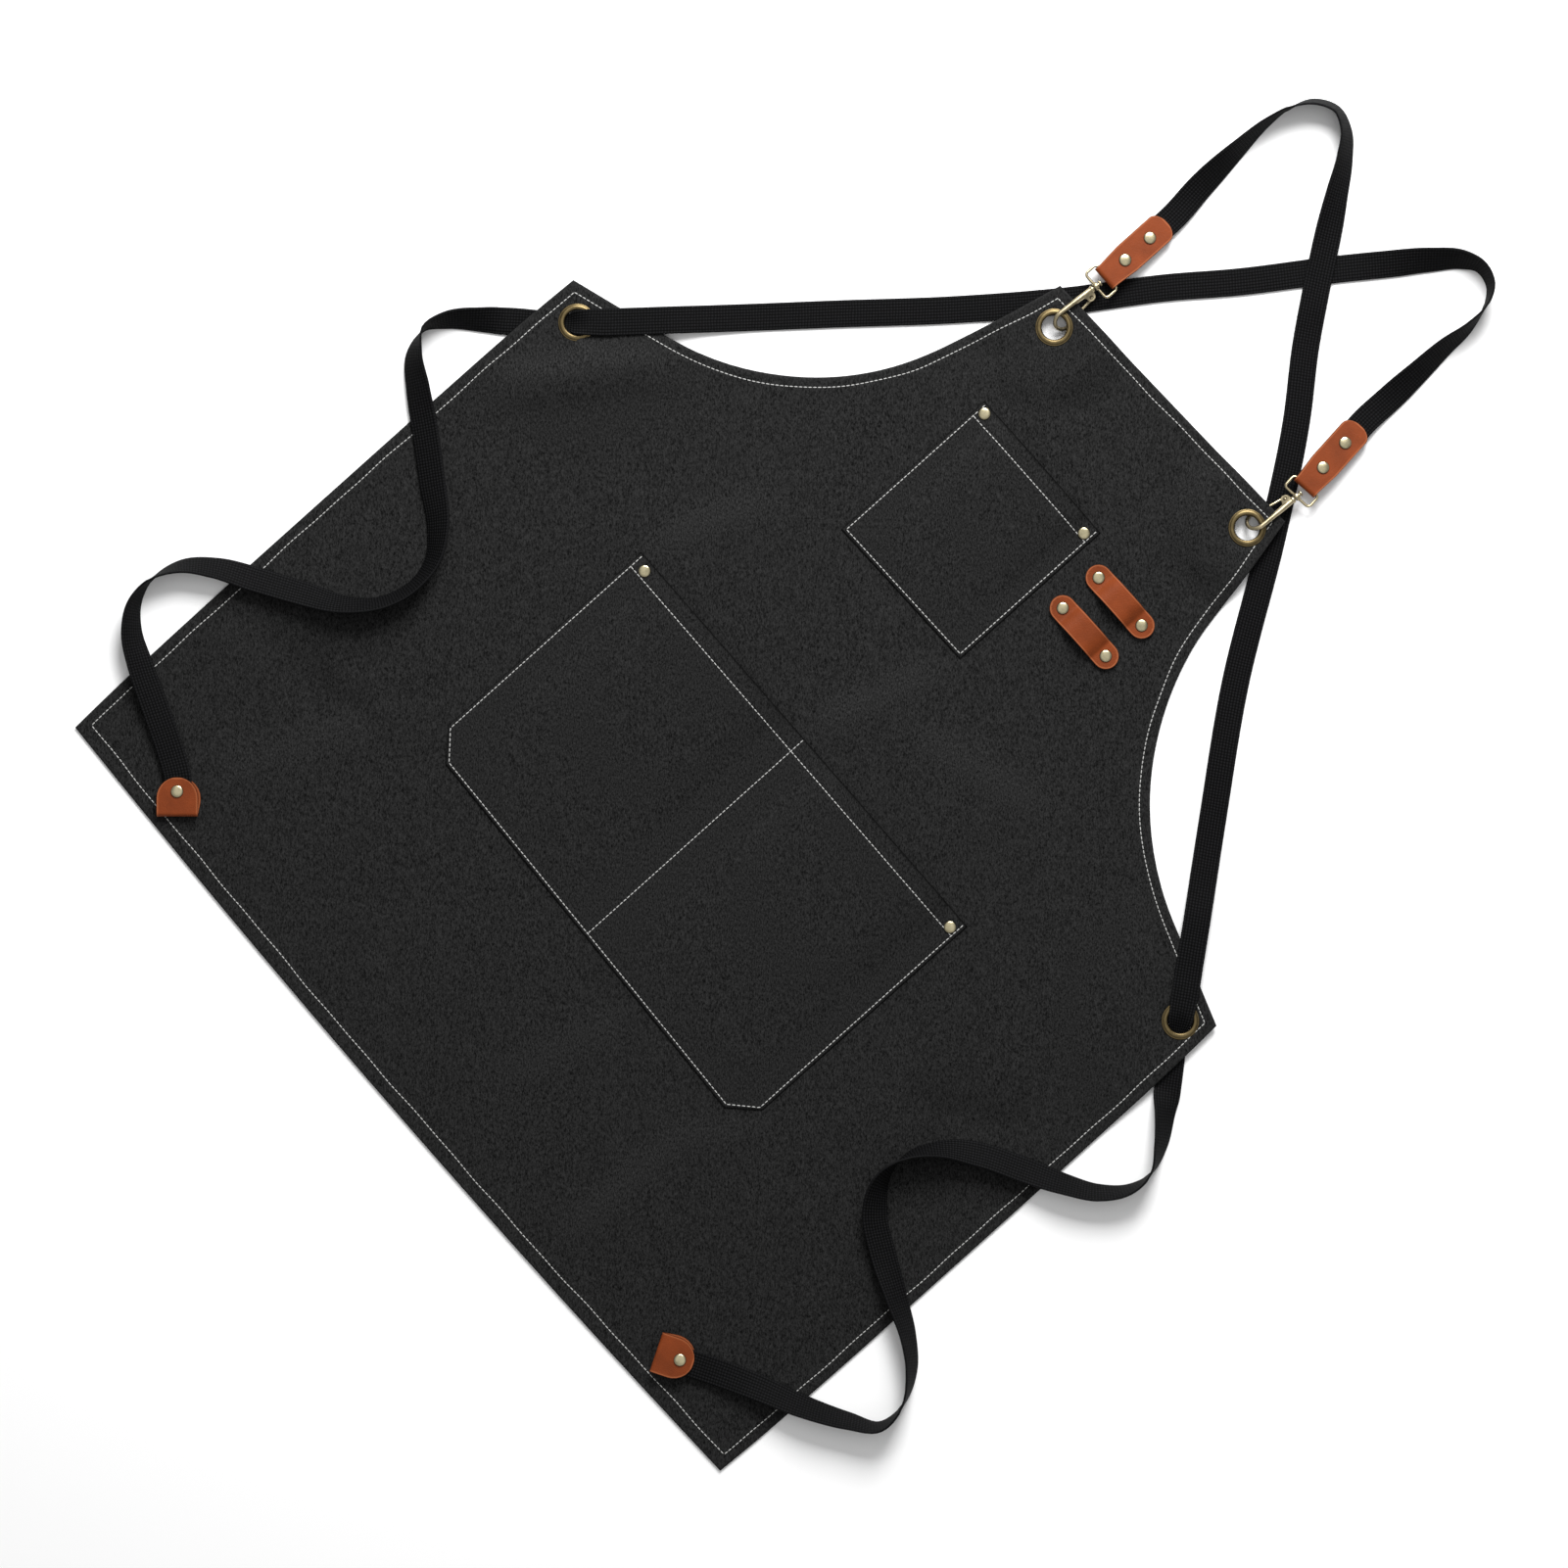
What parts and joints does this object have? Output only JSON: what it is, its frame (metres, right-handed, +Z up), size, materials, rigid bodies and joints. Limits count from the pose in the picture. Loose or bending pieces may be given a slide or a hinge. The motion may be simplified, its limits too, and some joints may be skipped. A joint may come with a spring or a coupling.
{
  "type": "artist apron",
  "caption": "Canvas work apron with crossed webbing straps, snap hooks in bib grommets, chest and hand pockets, and riveted leather tool loops",
  "frame": {"origin": "middle of the apron's box without the straps and their end tabs, on the surface that it lies on", "axes": "+X to the right of someone looking at the face with the bib at the top, +Y from the hem to the bib, +Z up out of the face"},
  "size_m": [0.7886, 0.9656, 0.0215],
  "materials": {
    "canvas": "charcoal heathered canvas",
    "webbing": "black ribbed webbing",
    "leather": "smooth tan leather",
    "pale_brass": "polished pale brass",
    "antique_brass": "antique brass"
  },
  "bodies": {
    "apron": {"apron_panel": "canvas", "chest_pocket": "canvas", "hand_pocket": "canvas", "strap_left": "webbing", "strap_right": "webbing", "tool_loop_upper": "leather", "tool_loop_lower": "leather", "hook_tab_left": "leather", "hook_tab_right": "leather", "end_tab_left": "leather", "end_tab_right": "leather", "rivet_chest_left": "pale_brass", "rivet_chest_right": "pale_brass", "rivet_hand_left": "pale_brass", "rivet_hand_right": "pale_brass", "rivet_loop_upper_left": "pale_brass", "rivet_loop_upper_right": "pale_brass", "rivet_loop_lower_left": "pale_brass", "rivet_loop_lower_right": "pale_brass", "hook_rivet_left_1": "pale_brass", "hook_rivet_left_2": "pale_brass", "hook_rivet_right_1": "pale_brass", "hook_rivet_right_2": "pale_brass", "end_rivet_left": "pale_brass", "end_rivet_right": "pale_brass", "grommet_bib_left": "antique_brass", "grommet_bib_right": "antique_brass", "grommet_waist_left": "antique_brass", "grommet_waist_right": "antique_brass", "snap_hook_left": "antique_brass", "snap_hook_right": "antique_brass", "swivel_ring_left": "antique_brass", "swivel_ring_right": "antique_brass"},
    "gate_left": {"hook_gate_left": "antique_brass"},
    "gate_right": {"hook_gate_right": "antique_brass"}
  },
  "joints": [
    {"name": "gate_left_hinge", "type": "hinge", "parent": "apron", "child": "gate_left", "pos_m": [-0.09472, 0.33207, 0.00712], "axis": [-0.6722, -0.0062, -0.7403], "range_deg": [0, 6], "stiffness_Nm_per_rad": 0.05, "springref_deg": -20.05},
    {"name": "gate_right_hinge", "type": "hinge", "parent": "apron", "child": "gate_right", "pos_m": [0.10319, 0.33868, 0.00712], "axis": [-0.6665, 0.0881, 0.7403], "range_deg": [0, 6], "stiffness_Nm_per_rad": 0.05, "springref_deg": -20.05}
  ]
}
